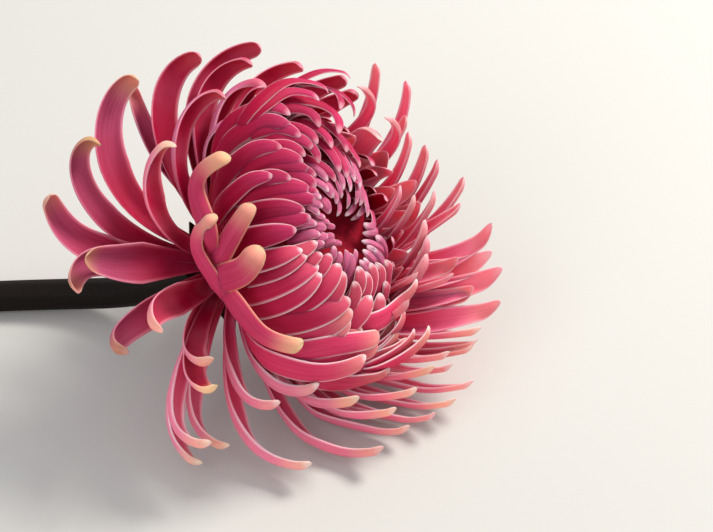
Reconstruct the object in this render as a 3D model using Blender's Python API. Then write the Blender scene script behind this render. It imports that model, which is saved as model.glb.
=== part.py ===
# A cut chrysanthemum flower lying on its side: a bare stem, a cup of green bracts
# and a double bloom of incurved ray florets.
# Metres, +Z up. The stem runs from -X to the head, the surface is z = 0.

import math
import random
from collections import namedtuple

import bmesh
import bpy
import numpy as np

MM = 0.001

# the head: where its base sits and how its axis leans
HEAD_BASE = np.array([9.6, 2.4, 32.7]) * MM
HEAD_TURN = math.radians(-25.0)
HEAD_RISE = math.radians(36.5)

# the receptacle that every floret grows from, measured from the head's base
SEAT_RADIUS = 8.0 * MM
SEAT_RISE = 2.0 * MM
CORE_BACK = -1.6 * MM
CORE_BACK_RADIUS = 9.0 * MM
CORE_RADIUS = 18.0 * MM
CORE_WAIST = 6.0 * MM
CORE_HEIGHT = 29.0 * MM
CORE_SIDES = 14

# a floret's blade: its channel, the length of its hook and its outline, as shares
BLADE_THICKNESS = 0.9 * MM
MARGIN_SPREAD = 0.46
MARGIN_LIFT = 0.26
HOOK = 0.33
ROOT_WIDTH = 0.42
SWELL = 1.2
WIDEST = 0.6
TIP_TAPER = 0.42
TIP_ROUNDNESS = 3
RIM_SHARES = (0.0, 0.25, 0.5, 0.72, 0.88, 0.98)
DOME_SHARES = (0.1, 0.4, 0.65, 0.85, 0.98)
CROWN_SHARES = (0.3, 0.65, 0.95)

# the dome of incurved florets, held closer to the axis on the side over the stem
DOME_FLORETS = 68
DOME_SEAT_RADIUS = 6.4 * MM
DOME_FULLNESS = 0.75
GOLDEN_ANGLE = 137.508
DOME_SEED = 7
CLOCK_STRAY = 4.0
REACH_STRAY = 1.5
RISE_STRAY = 1.2
TIGHT_CLOCK = 300.0
TIGHT_LAUNCH = 26.0
TIGHT_REACH = 0.22
# it leans away from that side, so much for each millimetre of rise
LEAN_CLOCK = 125.0
LEAN = 0.2

# the small florets of the sunken middle, outer and inner
CROWN_FLORETS = 16
CROWN_REACH = (9.0, 4.0)
CROWN_RISE = (39.0, 33.0)
CROWN_SEAT_RADIUS = 2.0 * MM
CROWN_SEAT_RISE = 8.0 * MM

# the bract cup behind the florets
CUP_FRONT = -2.0 * MM
CUP_BACK = -11.0 * MM
CUP_WAIST = 5.6 * MM
CUP_RADIUS = 8.8 * MM
BRACT_COUNT = 13
BRACT_REACH = 15.5
BRACT_RISE = -4.6
BRACT_WIDTH = 5.5
BRACT_SEAT_RADIUS = 5.0 * MM
BRACT_SEAT_RISE = -6.0 * MM
BRACT_SHARES = (0.0, 0.5, 0.95)
NODE_GAP = 0.3 * MM

# the stem: straight out of the cup, then bending down to lie on the surface
STEM_RADIUS = 4.3 * MM
STEM_NECK_RADIUS = 3.7 * MM
STEM_SIDES = 12
STEM_STATIONS = 18
STEM_NECK = 27.0 * MM
STEM_KNEE = (-20.0 * MM, 8.0 * MM)
STEM_TURN = (-40.0 * MM, 9.0 * MM)
STEM_CUT = (-80.4 * MM, 5.0 * MM)
STEM_LYING = STEM_RADIUS * math.cos(math.pi / STEM_SIDES)

Floret = namedtuple("Floret", "clock reach rise root launch fullness arrival heading width")

# The open florets round the rim. Each tip lies at a clock angle round the head's axis
# (0 is the highest side), a reach out from the axis and a rise forward of the base.
# The root's clock angle, the launch and arrival angles from the axis and the arrival's
# clock angle shape the bend. Angles are in degrees, lengths in millimetres.
RIM_FLORETS = (
    # reflexed florets over the stem
    Floret(324, 63, 0, 308, 105, 0.75, 50, 336, 8.5),
    Floret(309, 53, 0, 307, 100, 0.50, 80, 315, 11.0),
    Floret(299, 54, -4, 306, 104, 0.70, 80, 236, 8.0),
    Floret(277, 47, -3, 286, 100, 0.70, 35, 213, 8.5),
    Floret(343, 53, 6, 312, 106, 0.90, -35, 347, 8.0),
    Floret(7, 55, 8, 325, 104, 0.85, -15, 3, 8.5),
    Floret(13, 53, -4, 3, 98, 0.50, 80, 25, 7.0),
    # the upper side
    Floret(27, 53, 14, 358, 98, 0.80, -20, 38, 8.5),
    Floret(23, 42, 20, 348, 88, 0.85, -30, 26, 7.0),
    Floret(49, 57, 16, 18, 100, 0.80, -20, 60, 8.0),
    Floret(43, 52, 17, 19, 95, 0.80, -20, 54, 7.0),
    Floret(42, 45, 20, 24, 92, 0.80, -30, 54, 7.0),
    Floret(22, 34, 25, 10, 80, 0.80, -25, 26, 7.0),
    Floret(62, 57, 18, 41, 96, 0.80, -25, 80, 7.0),
    Floret(70, 54, 28, 55, 85, 0.80, -25, 108, 7.0),
    Floret(70, 48, 33, 62, 80, 0.80, -30, 118, 7.0),
    # florets that stand off the dome's near side
    Floret(350, 41, 18, 317, 93, 0.75, -20, 347, 7.5),
    Floret(346, 34, 30, 328, 66, 0.60, -20, 342, 7.5),
    Floret(314, 36, 32, 274, 84, 0.70, 20, 20, 6.5),
    Floret(316, 34, 42, 296, 80, 0.55, 15, 20, 7.0),
    Floret(296, 33, 42, 278, 74, 0.50, -15, 297, 8.0),
    Floret(281, 49, 13, 280, 75, 0.55, 60, 224, 8.5),
    Floret(261, 42, 16, 271, 85, 0.70, 10, 236, 8.0),
    Floret(255, 47, 16, 267, 86, 0.70, 10, 236, 8.0),
    # the lower side, down to the surface
    Floret(246, 56, 8, 262, 100, 0.85, 10, 236, 9.5),
    Floret(237, 53, 5, 254, 102, 0.80, 20, 225, 8.5),
    Floret(237, 56, -5, 258, 110, 0.75, 30, 236, 9.0),
    Floret(235, 44, 21, 245, 86, 0.70, 0, 225, 8.0),
    Floret(220, 58, 18, 238, 96, 0.80, 10, 213, 9.5),
    Floret(225, 30, 26, 239, 70, 0.70, -8, 213, 8.0),
    Floret(222, 39, 26, 232, 80, 0.75, -8, 213, 8.5),
    Floret(205, 58, 30, 214, 92, 0.80, 0, 195, 9.0),
    Floret(193, 57, 31, 203, 90, 0.80, 0, 184, 9.0),
    Floret(186, 58, 35, 195, 88, 0.75, 0, 176, 8.5),
    Floret(180, 59, 38, 185, 86, 0.75, 5, 170, 8.5),
    Floret(174, 59, 41, 175, 86, 0.75, 5, 162, 8.5),
    Floret(174, 52, 39, 171, 85, 0.70, 5, 162, 8.0),
    Floret(174, 48, 41, 171, 75, 0.70, 5, 162, 8.0),
    Floret(167, 53, 43, 166, 85, 0.70, 5, 153, 8.0),
    Floret(164, 54, 43, 161, 88, 0.70, 10, 149, 8.0),
    Floret(162, 52, 45, 156, 85, 0.70, 15, 145, 8.0),
    # the far side
    Floret(153, 55, 48, 151, 88, 0.70, 25, 127, 8.5),
    Floret(143, 54, 48, 144, 86, 0.70, 35, 118, 8.5),
    Floret(130, 54, 47, 136, 86, 0.60, 45, 91, 8.5),
    Floret(138, 54, 43, 137, 92, 0.60, 60, 118, 10.0),
    Floret(113, 55, 42, 130, 85, 0.70, 45, 71, 8.5),
    Floret(105, 49, 41, 123, 85, 0.70, 20, 61, 8.0),
    Floret(81, 58, 39, 107, 82, 0.70, 50, 14, 8.0),
    Floret(69, 54, 39, 98, 82, 0.70, 45, 14, 8.0),
    Floret(91, 45, 40, 112, 80, 0.70, 30, 38, 7.5),
    Floret(98, 47, 41, 119, 80, 0.70, 35, 49, 7.5),
    Floret(113, 39, 44, 127, 75, 0.70, 20, 81, 7.5),
    Floret(154, 39, 45, 150, 75, 0.70, 20, 118, 7.5),
    Floret(149, 30, 45, 146, 70, 0.70, 10, 100, 7.5),
    Floret(136, 30, 46, 139, 70, 0.70, 10, 90, 7.5),
    Floret(128, 29, 46, 134, 70, 0.70, 10, 90, 7.5),
    Floret(62, 43, 40, 84, 76, 0.85, 90, 330, 6.5),
    Floret(76, 39, 42, 100, 78, 0.85, 90, 330, 6.5),
    # the outermost row behind the far side, one of them on the surface
    Floret(58, 52, 2, 50, 104, 0.70, 40, 66, 8.5),
    Floret(77, 54, 4, 70, 104, 0.70, 35, 82, 8.5),
    Floret(95, 55, 0, 90, 106, 0.70, 45, 96, 9.0),
    Floret(113, 56, 2, 108, 104, 0.70, 40, 112, 8.5),
    Floret(131, 57, -3, 128, 104, 0.70, 50, 128, 9.0),
    Floret(150, 50, 8, 150, 98, 0.70, 30, 146, 8.5),
)

# The dome's florets, from its foot to the crown: share of the way in, then the tip's
# reach and rise, the launch and arrival angles and the blade's width.
DOME_PROFILE = (
    (0.00, 41.0, 35.0, 84.0, -25.0, 9.0),
    (0.30, 35.0, 39.5, 72.0, -45.0, 8.6),
    (0.60, 26.0, 43.0, 56.0, -60.0, 7.6),
    (0.85, 17.0, 44.5, 38.0, -75.0, 6.2),
    (1.00, 11.0, 42.5, 25.0, -80.0, 5.0),
)


def head_axes():
    """The head's forward axis, its highest side and the square to both."""
    forward = np.array([
        math.cos(HEAD_RISE) * math.cos(HEAD_TURN),
        math.cos(HEAD_RISE) * math.sin(HEAD_TURN),
        math.sin(HEAD_RISE),
    ])
    high = np.array([0.0, 0.0, 1.0]) - forward[2] * forward
    high /= np.linalg.norm(high)
    return forward, high, np.cross(forward, high)


FORWARD, HIGH, ACROSS = head_axes()


def outward(clock):
    turn = math.radians(clock)
    return math.cos(turn) * HIGH - math.sin(turn) * ACROSS


def on_head(clock, reach, rise):
    return HEAD_BASE + outward(clock) * reach + FORWARD * rise


def lean_dome(mesh):
    """Carries a mesh aside by its rise in front of the head's base."""
    for vert in mesh.vertices:
        rise = max((np.array(vert.co) - HEAD_BASE) @ FORWARD, 0.0)
        vert.co = np.array(vert.co) + outward(LEAN_CLOCK) * LEAN * rise
    return mesh


def toward(clock, lean):
    tilt = math.radians(lean)
    return math.cos(tilt) * FORWARD + math.sin(tilt) * outward(clock)


def spine(floret, shares, seat_radius, seat_rise):
    """Points down the middle of a floret, as one cubic bend from root to tip."""
    root = on_head(floret.root, seat_radius, seat_rise)
    tip = on_head(floret.clock, floret.reach * MM, floret.rise * MM)
    span = np.linalg.norm(tip - root)
    leave = root + toward(floret.root, floret.launch) * span * floret.fullness
    arrive = tip - toward(floret.heading, floret.arrival) * span * HOOK
    points = []
    for t in shares:
        s = 1.0 - t
        points.append(s ** 3 * root + 3 * s * s * t * leave + 3 * s * t * t * arrive + t ** 3 * tip)
    return np.array(points)


def blade_width(share, width):
    """Narrow at the root, widest past the middle and round at the tip."""
    if share <= WIDEST:
        return width * (ROOT_WIDTH + (1.0 - ROOT_WIDTH) * (share / WIDEST) ** SWELL)
    return width * (1.0 - ((share - WIDEST) / TIP_TAPER) ** TIP_ROUNDNESS) ** 0.5


def cross_direction(floret, share):
    turn = (floret.clock - floret.root + 180.0) % 360.0 - 180.0
    return np.cross(FORWARD, outward(floret.root + turn * share))


def blade_mesh(floret, shares, seat_radius, seat_rise):
    """A closed channelled blade: two margins, a keel outside and a fold inside."""
    middle = spine(floret, shares, seat_radius, seat_rise)
    along = np.gradient(middle, axis=0)
    along /= np.linalg.norm(along, axis=1)[:, None]
    bm = bmesh.new()
    rings = []
    for point, run, share in zip(middle, along, shares):
        inner = np.cross(run, cross_direction(floret, share))
        inner /= np.linalg.norm(inner)
        side = np.cross(inner, run)
        width = blade_width(share, floret.width * MM)
        lift = inner * width * MARGIN_LIFT
        ring = (
            point + side * width * MARGIN_SPREAD + lift,
            point,
            point - side * width * MARGIN_SPREAD + lift,
            point + inner * BLADE_THICKNESS,
        )
        rings.append([bm.verts.new(corner) for corner in ring])
    for near, far in zip(rings, rings[1:]):
        for k in range(4):
            n = (k + 1) % 4
            bm.faces.new((near[k], near[n], far[n], far[k]))
    bm.faces.new(rings[0][::-1])
    bm.faces.new(rings[-1])
    bmesh.ops.triangulate(bm, faces=bm.faces[:])
    bmesh.ops.recalc_face_normals(bm, faces=bm.faces[:])
    return mesh_from(bm, "blade")


def mesh_from(bm, name):
    mesh = bpy.data.meshes.new(name)
    bm.to_mesh(mesh)
    bm.free()
    return mesh


def turned_mesh(profile, sides, name):
    """A solid turned round the head's axis from (reach, rise) pairs, back to front."""
    bm = bmesh.new()
    rings = []
    for reach, rise in profile:
        rings.append([
            bm.verts.new(on_head(360.0 * k / sides, reach, rise)) for k in range(sides)
        ])
    for near, far in zip(rings, rings[1:]):
        for k in range(sides):
            n = (k + 1) % sides
            bm.faces.new((near[k], near[n], far[n], far[k]))
    bm.faces.new(rings[0][::-1])
    bm.faces.new(rings[-1])
    bmesh.ops.triangulate(bm, faces=bm.faces[:])
    bmesh.ops.recalc_face_normals(bm, faces=bm.faces[:])
    return mesh_from(bm, name)


def core_mesh():
    """A domed core that widens from the cup, under all the florets."""
    step = math.radians(15.0)
    shoulder = 0.5 * (CORE_BACK_RADIUS + CORE_RADIUS)
    profile = [(CORE_BACK_RADIUS, CORE_BACK), (shoulder, 0.5 * CORE_WAIST)]
    for k in range(5):
        rise = CORE_WAIST + (CORE_HEIGHT - CORE_WAIST) * math.sin(step * (k + 1))
        profile.append((CORE_RADIUS * math.cos(step * k), rise))
    return turned_mesh(profile, CORE_SIDES, "core")


def along_profile(share):
    for low, high in zip(DOME_PROFILE, DOME_PROFILE[1:]):
        if share <= high[0]:
            part = (share - low[0]) / (high[0] - low[0])
            return [a + (b - a) * part for a, b in zip(low[1:], high[1:])]
    return list(DOME_PROFILE[-1][1:])


def tightness(clock):
    """The side over the stem holds its florets closer to the axis."""
    return max(math.cos(math.radians(clock - TIGHT_CLOCK)), 0.0)


def dome_florets(count):
    """Incurved florets in a golden-angle spiral from the dome's foot to its crown."""
    draw = random.Random(DOME_SEED)
    florets = []
    for i in range(count):
        share = (i + 0.5) / count
        reach, rise, launch, arrival, width = along_profile(share)
        clock = (i * GOLDEN_ANGLE) % 360.0
        tight = tightness(clock) * (1.0 - share)
        florets.append(Floret(
            clock + draw.uniform(-CLOCK_STRAY, CLOCK_STRAY),
            reach * (1.0 - TIGHT_REACH * tight) + draw.uniform(-REACH_STRAY, REACH_STRAY),
            rise + draw.uniform(-RISE_STRAY, RISE_STRAY),
            clock + draw.uniform(-CLOCK_STRAY, CLOCK_STRAY),
            launch - TIGHT_LAUNCH * tight, DOME_FULLNESS, arrival, clock, width,
        ))
    return florets


def crown_florets(count):
    """The small florets that line the sunken middle."""
    florets = []
    for i in range(count):
        share = (i + 0.5) / count
        clock = (i * GOLDEN_ANGLE) % 360.0
        reach = CROWN_REACH[0] + (CROWN_REACH[1] - CROWN_REACH[0]) * share
        rise = CROWN_RISE[0] + (CROWN_RISE[1] - CROWN_RISE[0]) * share
        florets.append(Floret(clock, reach, rise, clock, 14.0, 0.45, -25.0, clock, 4.2))
    return florets


def keep_largest_shell(mesh):
    """Fills the hollows that the union sealed and drops loose scraps."""
    bm = bmesh.new()
    bm.from_mesh(mesh)
    unseen = set(bm.verts)
    shells = []
    while unseen:
        shell = [unseen.pop()]
        for vert in shell:
            for edge in vert.link_edges:
                other = edge.other_vert(vert)
                if other in unseen:
                    unseen.remove(other)
                    shell.append(other)
        shells.append(shell)
    shells.sort(key=len)
    for shell in shells[:-1]:
        bmesh.ops.delete(bm, geom=shell, context="VERTS")
    bm.to_mesh(mesh)
    bm.free()


def united(name, meshes, material):
    """One solid from overlapping ones, by a single Boolean union on a collection."""
    group = bpy.data.collections.new(name + "_pieces")
    for mesh in meshes[1:]:
        group.objects.link(bpy.data.objects.new(name + "_piece", mesh))
    body = bpy.data.objects.new(name, meshes[0])
    bpy.context.scene.collection.objects.link(body)
    union = body.modifiers.new("union", "BOOLEAN")
    union.operation = "UNION"
    union.operand_type = "COLLECTION"
    union.collection = group
    shaped = body.evaluated_get(bpy.context.evaluated_depsgraph_get())
    body.data = bpy.data.meshes.new_from_object(shaped)
    body.modifiers.clear()
    keep_largest_shell(body.data)
    for piece in list(group.objects):
        bpy.data.objects.remove(piece)
    bpy.data.collections.remove(group)
    body.data.name = name
    body.data.materials.clear()
    body.data.materials.append(material)
    return body


def surface(name, colour, roughness):
    material = bpy.data.materials.new(name)
    material.use_nodes = True
    shader = material.node_tree.nodes["Principled BSDF"]
    shader.inputs["Base Color"].default_value = (*colour, 1.0)
    shader.inputs["Roughness"].default_value = roughness
    shader.inputs["Metallic"].default_value = 0.0
    return material


def build_ray_florets():
    meshes = [lean_dome(core_mesh())]
    for floret in RIM_FLORETS:
        meshes.append(blade_mesh(floret, RIM_SHARES, SEAT_RADIUS, SEAT_RISE))
    for floret in dome_florets(DOME_FLORETS):
        meshes.append(lean_dome(blade_mesh(floret, DOME_SHARES, DOME_SEAT_RADIUS, SEAT_RISE)))
    for floret in crown_florets(CROWN_FLORETS):
        meshes.append(lean_dome(blade_mesh(floret, CROWN_SHARES, CROWN_SEAT_RADIUS, CROWN_SEAT_RISE)))
    return united("ray_florets", meshes, surface("ray_florets", (0.55, 0.12, 0.22), 0.6))


def build_involucre():
    profile = (
        (STEM_NECK_RADIUS + 0.6 * MM, CUP_BACK),
        (CUP_WAIST, CUP_BACK + 3.0 * MM),
        (CUP_RADIUS - 0.6 * MM, CUP_FRONT - 2.0 * MM),
        (CUP_RADIUS, CUP_FRONT),
    )
    meshes = [turned_mesh(profile, CORE_SIDES, "cup")]
    for k in range(BRACT_COUNT):
        clock = 360.0 * k / BRACT_COUNT
        bract = Floret(clock, BRACT_REACH, BRACT_RISE, clock, 100, 0.4, 86, clock, BRACT_WIDTH)
        meshes.append(blade_mesh(bract, BRACT_SHARES, BRACT_SEAT_RADIUS, BRACT_SEAT_RISE))
    return united("involucre", meshes, surface("involucre", (0.05, 0.06, 0.02), 0.7))


def stem_spine():
    """From the head straight back, then bending down to lie along the surface."""
    top = HEAD_BASE + FORWARD * (CUP_BACK - NODE_GAP)
    neck = top - FORWARD * STEM_NECK
    knee, turn, end = (
        np.array([along, neck[1] + aside, STEM_LYING])
        for along, aside in (STEM_KNEE, STEM_TURN, STEM_CUT)
    )
    points = []
    for i in range(STEM_STATIONS):
        t = i / (STEM_STATIONS - 1)
        s = 1.0 - t
        weights = (s ** 4, 4 * s ** 3 * t, 6 * s * s * t * t, 4 * s * t ** 3, t ** 4)
        points.append(sum(w * p for w, p in zip(weights, (top, neck, knee, turn, end))))
    return np.array(points)


def build_stem():
    points = stem_spine()
    along = np.gradient(points, axis=0)
    along[0] = -FORWARD
    along[-1] = (-1.0, 0.0, 0.0)
    bm = bmesh.new()
    rings = []
    for i, (point, run) in enumerate(zip(points, along)):
        run = run / np.linalg.norm(run)
        side = np.cross(run, (0.0, 0.0, 1.0))
        side /= np.linalg.norm(side)
        top = np.cross(side, run)
        share = i / (STEM_STATIONS - 1)
        radius = STEM_NECK_RADIUS + (STEM_RADIUS - STEM_NECK_RADIUS) * min(share * 2.0, 1.0)
        ring = []
        for k in range(STEM_SIDES):
            turn = 2.0 * math.pi * (k + 0.5) / STEM_SIDES
            ring.append(bm.verts.new(point + radius * (side * math.cos(turn) + top * math.sin(turn))))
        rings.append(ring)
    for near, far in zip(rings, rings[1:]):
        for k in range(STEM_SIDES):
            n = (k + 1) % STEM_SIDES
            bm.faces.new((near[k], near[n], far[n], far[k]))
    bm.faces.new(rings[0][::-1])
    bm.faces.new(rings[-1])
    bmesh.ops.triangulate(bm, faces=bm.faces[:])
    bmesh.ops.recalc_face_normals(bm, faces=bm.faces[:])
    body = bpy.data.objects.new("stem", mesh_from(bm, "stem"))
    body.data.materials.append(surface("stem", (0.02, 0.012, 0.008), 0.55))
    bpy.context.scene.collection.objects.link(body)
    return body


def main():
    for old in list(bpy.data.objects):
        bpy.data.objects.remove(old)
    build_stem()
    build_involucre()
    build_ray_florets()


main()
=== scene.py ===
# The looks of a cut chrysanthemum flower lying on its side: a bare stem, a cup of bracts
# and a double bloom. Metres, +Z up, in the frame of the solids.

import math
import random
from collections import namedtuple

import bpy
import numpy as np
from mathutils import Matrix, Vector


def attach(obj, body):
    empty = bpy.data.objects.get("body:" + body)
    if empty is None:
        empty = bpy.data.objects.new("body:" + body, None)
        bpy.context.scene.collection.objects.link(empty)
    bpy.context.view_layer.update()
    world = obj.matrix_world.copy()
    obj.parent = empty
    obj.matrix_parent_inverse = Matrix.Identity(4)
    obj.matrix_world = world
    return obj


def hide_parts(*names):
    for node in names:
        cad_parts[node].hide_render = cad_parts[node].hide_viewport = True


MM = 0.001

# the head, as in the solids: where its base sits and how its axis leans
HEAD_BASE = np.array([9.6, 2.4, 32.7]) * MM
HEAD_TURN = math.radians(-25.0)
HEAD_RISE = math.radians(36.5)

# A floret of the rim, in degrees and millimetres on the head: where its tip is, how it leaves
# its root and how it arrives at the tip, its width, how far its tip hooks, and its seat.
FLORET_FIELDS = "clock reach rise root launch fullness arrival heading width hook seat_radius seat_rise"
Floret = namedtuple("Floret", FLORET_FIELDS, defaults=(0.33, 8.0, 2.0))
FORM_FIELDS = "stations strips channel thickness margin taper hood groove wave twist notch lay point"
Form = namedtuple("Form", FORM_FIELDS)
# a floret of the dome as the picture shows it, in pixels, its width and how far it stands off
Drawn = namedtuple("Drawn", "tip_x tip_y half_x half_y low_x low_y width lift", defaults=(0.0,))
# a group's colours: its back from root to tip, its inner face, then its pale margins, which are
# the petals' own pale edge with painted highlight, and its warm tips, and how far these show
Look = namedtuple("Look", "root middle tip inner_root inner_tip rim rim_amount warm warm_amount")

# reflexed florets over the stem
REFLEXED = (
    Floret(324, 63, 0, 308, 105, 0.75, 50, 336, 8.5),
    Floret(309, 53, 0, 307, 100, 0.50, 80, 315, 11.0),
    Floret(299, 54, -4, 306, 104, 0.70, 80, 236, 8.0),
    Floret(277, 47, -3, 286, 100, 0.70, 35, 213, 8.5),
    Floret(343, 53, 6, 312, 106, 0.90, -35, 347, 8.0),
    Floret(7, 55, 8, 325, 104, 0.85, -15, 3, 8.5),
    Floret(13, 53, -4, 3, 98, 0.50, 80, 25, 7.0),
)
# the upper side
UPPER = (
    Floret(27, 53, 14, 358, 98, 0.80, -20, 38, 8.5),
    Floret(23, 42, 20, 348, 88, 0.85, -30, 26, 7.0),
    Floret(49, 57, 16, 18, 100, 0.80, -20, 60, 8.0),
    Floret(43, 52, 17, 19, 95, 0.80, -20, 54, 7.0),
    Floret(42, 45, 20, 24, 92, 0.80, -30, 54, 7.0),
    Floret(22, 34, 25, 10, 80, 0.80, -25, 26, 7.0),
    Floret(62, 57, 18, 41, 96, 0.80, -25, 80, 7.0),
    Floret(70, 54, 28, 55, 85, 0.80, -25, 108, 7.0),
    Floret(70, 48, 33, 62, 80, 0.80, -30, 118, 7.0),
)
# florets that stand off the dome's near side
NEAR = (
    Floret(350, 41, 18, 317, 93, 0.75, -20, 347, 7.5),
    Floret(281, 49, 13, 280, 75, 0.55, 60, 224, 8.5),
    Floret(261, 42, 16, 271, 85, 0.70, 10, 236, 8.0),
    Floret(255, 47, 16, 267, 86, 0.70, 10, 236, 8.0),
)
# the lower side, down to the surface
LOWER = (
    Floret(246, 56, 8, 262, 100, 0.85, 10, 236, 6.6),
    Floret(237, 53, 5, 254, 102, 0.80, 20, 225, 6.4),
    Floret(237, 56, -5, 258, 110, 0.75, 30, 236, 6.6),
    Floret(235, 44, 21, 245, 86, 0.70, 0, 225, 6.2),
    Floret(220, 58, 18, 238, 96, 0.80, 10, 213, 6.6),
    Floret(222, 39, 26, 232, 80, 0.75, -8, 213, 6.4),
    Floret(205, 58, 30, 214, 92, 0.80, 0, 195, 6.0),
    Floret(193, 57, 31, 203, 90, 0.80, 0, 184, 5.6),
    Floret(186, 58, 35, 195, 88, 0.75, 0, 176, 5.4),
    Floret(180, 59, 38, 185, 86, 0.75, 5, 170, 5.6),
    Floret(174, 59, 41, 175, 86, 0.75, 5, 162, 5.6),
    Floret(174, 52, 39, 171, 85, 0.70, 5, 162, 5.4),
    Floret(174, 48, 41, 171, 75, 0.70, 5, 162, 5.4),
    Floret(167, 53, 43, 166, 85, 0.70, 5, 153, 5.6),
    Floret(164, 54, 43, 161, 88, 0.70, 10, 149, 5.6),
    Floret(162, 52, 45, 156, 85, 0.70, 15, 145, 6.0),
    Floret(184, 46, 41, 184, 78, 0.72, 0, 176, 5.4),
    Floret(192, 48, 38, 194, 80, 0.72, 0, 184, 5.4),
    Floret(199, 50, 34, 202, 84, 0.75, 0, 190, 5.4),
    Floret(212, 44, 32, 216, 80, 0.75, 0, 204, 6.0),
)
# the far side: broad florets that show their inner faces
FAR = (
    Floret(153, 55, 48, 151, 88, 0.72, 38, 122, 8.5, 0.3),
    Floret(143, 54, 48, 144, 86, 0.72, 46, 112, 9.0, 0.3),
    Floret(130, 54, 47, 136, 86, 0.64, 55, 88, 8.5, 0.3),
    Floret(138, 54, 43, 137, 92, 0.62, 62, 112, 11.0, 0.25),
    Floret(79, 39, 40, 96, 70, 0.70, 0, 60, 11.0),
    Floret(95, 42, 34, 104, 78, 0.70, 20, 80, 11.0),
    Floret(118, 44, 34, 122, 80, 0.70, 30, 100, 10.0),
    Floret(140, 45, 42, 143, 80, 0.70, 30, 118, 7.0),
    Floret(148, 51, 43, 147, 84, 0.70, 20, 127, 8.0),
    Floret(108, 40, 38, 115, 80, 0.70, 30, 95, 8.0),
)
# narrow florets of the far side
FINGERS = (
    Floret(113, 55, 42, 132, 88, 0.75, 62, 66, 5.2, 0.35),
    Floret(105, 49, 41, 125, 88, 0.75, 55, 50, 5.2, 0.4),
    Floret(81, 58, 39, 107, 86, 0.75, 62, 14, 4.4, 0.3),
    Floret(69, 54, 39, 98, 86, 0.75, 58, 14, 4.4, 0.3),
    Floret(91, 45, 40, 112, 84, 0.75, 60, 30, 4.8, 0.4),
    Floret(98, 47, 41, 119, 84, 0.75, 60, 35, 4.8, 0.4),
    Floret(114, 40, 43, 129, 82, 0.75, 55, 50, 5.0, 0.42),
    Floret(150, 39, 45, 150, 75, 0.70, 20, 118, 5.2),
    Floret(142, 32, 43, 150, 84, 0.80, 62, 60, 5.6, 0.45),
    Floret(133, 33, 43, 143, 84, 0.80, 62, 50, 5.6, 0.45),
    Floret(125, 33, 43, 137, 84, 0.80, 62, 45, 5.6, 0.45),
    Floret(62, 43, 40, 84, 76, 0.85, 90, 330, 4.0),
    Floret(76, 39, 42, 100, 78, 0.85, 90, 330, 4.0),
    Floret(105, 27, 43, 120, 74, 0.75, 50, 40, 4.6, 0.42),
    Floret(113, 31, 43, 126, 76, 0.75, 50, 45, 4.6, 0.42),
    Floret(156, 29, 42, 158, 66, 0.75, -10, 140, 5.0),
    Floret(174, 29, 42, 176, 66, 0.75, -20, 170, 5.0),
    Floret(121, 47, 44, 131, 80, 0.70, 30, 80, 4.8),
    Floret(88, 50, 38, 106, 82, 0.70, 40, 30, 4.6),
)
# the outermost row behind the far side
BACK = (
    Floret(58, 52, 2, 50, 104, 0.70, 40, 66, 8.5),
    Floret(77, 54, 4, 70, 104, 0.70, 35, 82, 8.5),
    Floret(95, 55, 0, 90, 106, 0.70, 45, 96, 9.0),
    Floret(113, 56, 2, 108, 104, 0.70, 40, 112, 8.5),
    Floret(131, 57, -3, 128, 104, 0.70, 50, 128, 9.0),
    Floret(150, 50, 8, 150, 98, 0.70, 30, 146, 8.5),
)

# The dome's florets as the picture shows them, in pixels: the tip, a point half way down and
# a point low down, then the width in millimetres.
UPPER_DOME = (
    Drawn(292, 111, 264, 104, 234, 116, 6.2),
    Drawn(322, 124, 308, 109, 280, 106, 5.4),
    Drawn(294, 127, 268, 120, 236, 134, 6.6),
    Drawn(302, 136, 284, 127, 252, 131, 5.5),
    Drawn(319, 142, 309, 131, 286, 124, 4.6),
    Drawn(316, 148, 300, 138, 270, 138, 5.5),
    Drawn(284, 146, 258, 147, 234, 163, 6.0),
    Drawn(307, 155, 290, 146, 260, 150, 5.2),
    Drawn(306, 161, 280, 156, 246, 169, 6.6),
    Drawn(313, 172, 295, 166, 260, 172, 5.5),
    Drawn(274, 175, 252, 179, 230, 195, 6.0),
    Drawn(293, 178, 274, 176, 246, 185, 6.0),
    Drawn(318, 187, 303, 177, 272, 178, 5.4),
    Drawn(315, 189, 288, 186, 246, 195, 7.0),
    Drawn(320, 202, 298, 198, 258, 206, 6.4),
    Drawn(308, 212, 284, 209, 242, 218, 7.2),
    Drawn(314, 218, 295, 220, 256, 229, 6.4),
    Drawn(299, 231, 276, 234, 238, 244, 7.6),
    Drawn(320, 162, 312, 146, 292, 136, 4.2),
    Drawn(321, 193, 310, 190, 290, 190, 4.2),
    Drawn(363, 166, 355, 152, 340, 134, 4.0),
    Drawn(341, 171, 334, 155, 318, 138, 4.4),
    Drawn(349, 177, 343, 160, 328, 142, 4.0),
    Drawn(338, 181, 327, 168, 306, 158, 4.0),
    Drawn(334, 146, 325, 132, 308, 122, 4.4),
    Drawn(350, 150, 340, 134, 320, 118, 4.8),
    Drawn(318, 176, 306, 170, 284, 168, 4.2),
)
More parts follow.
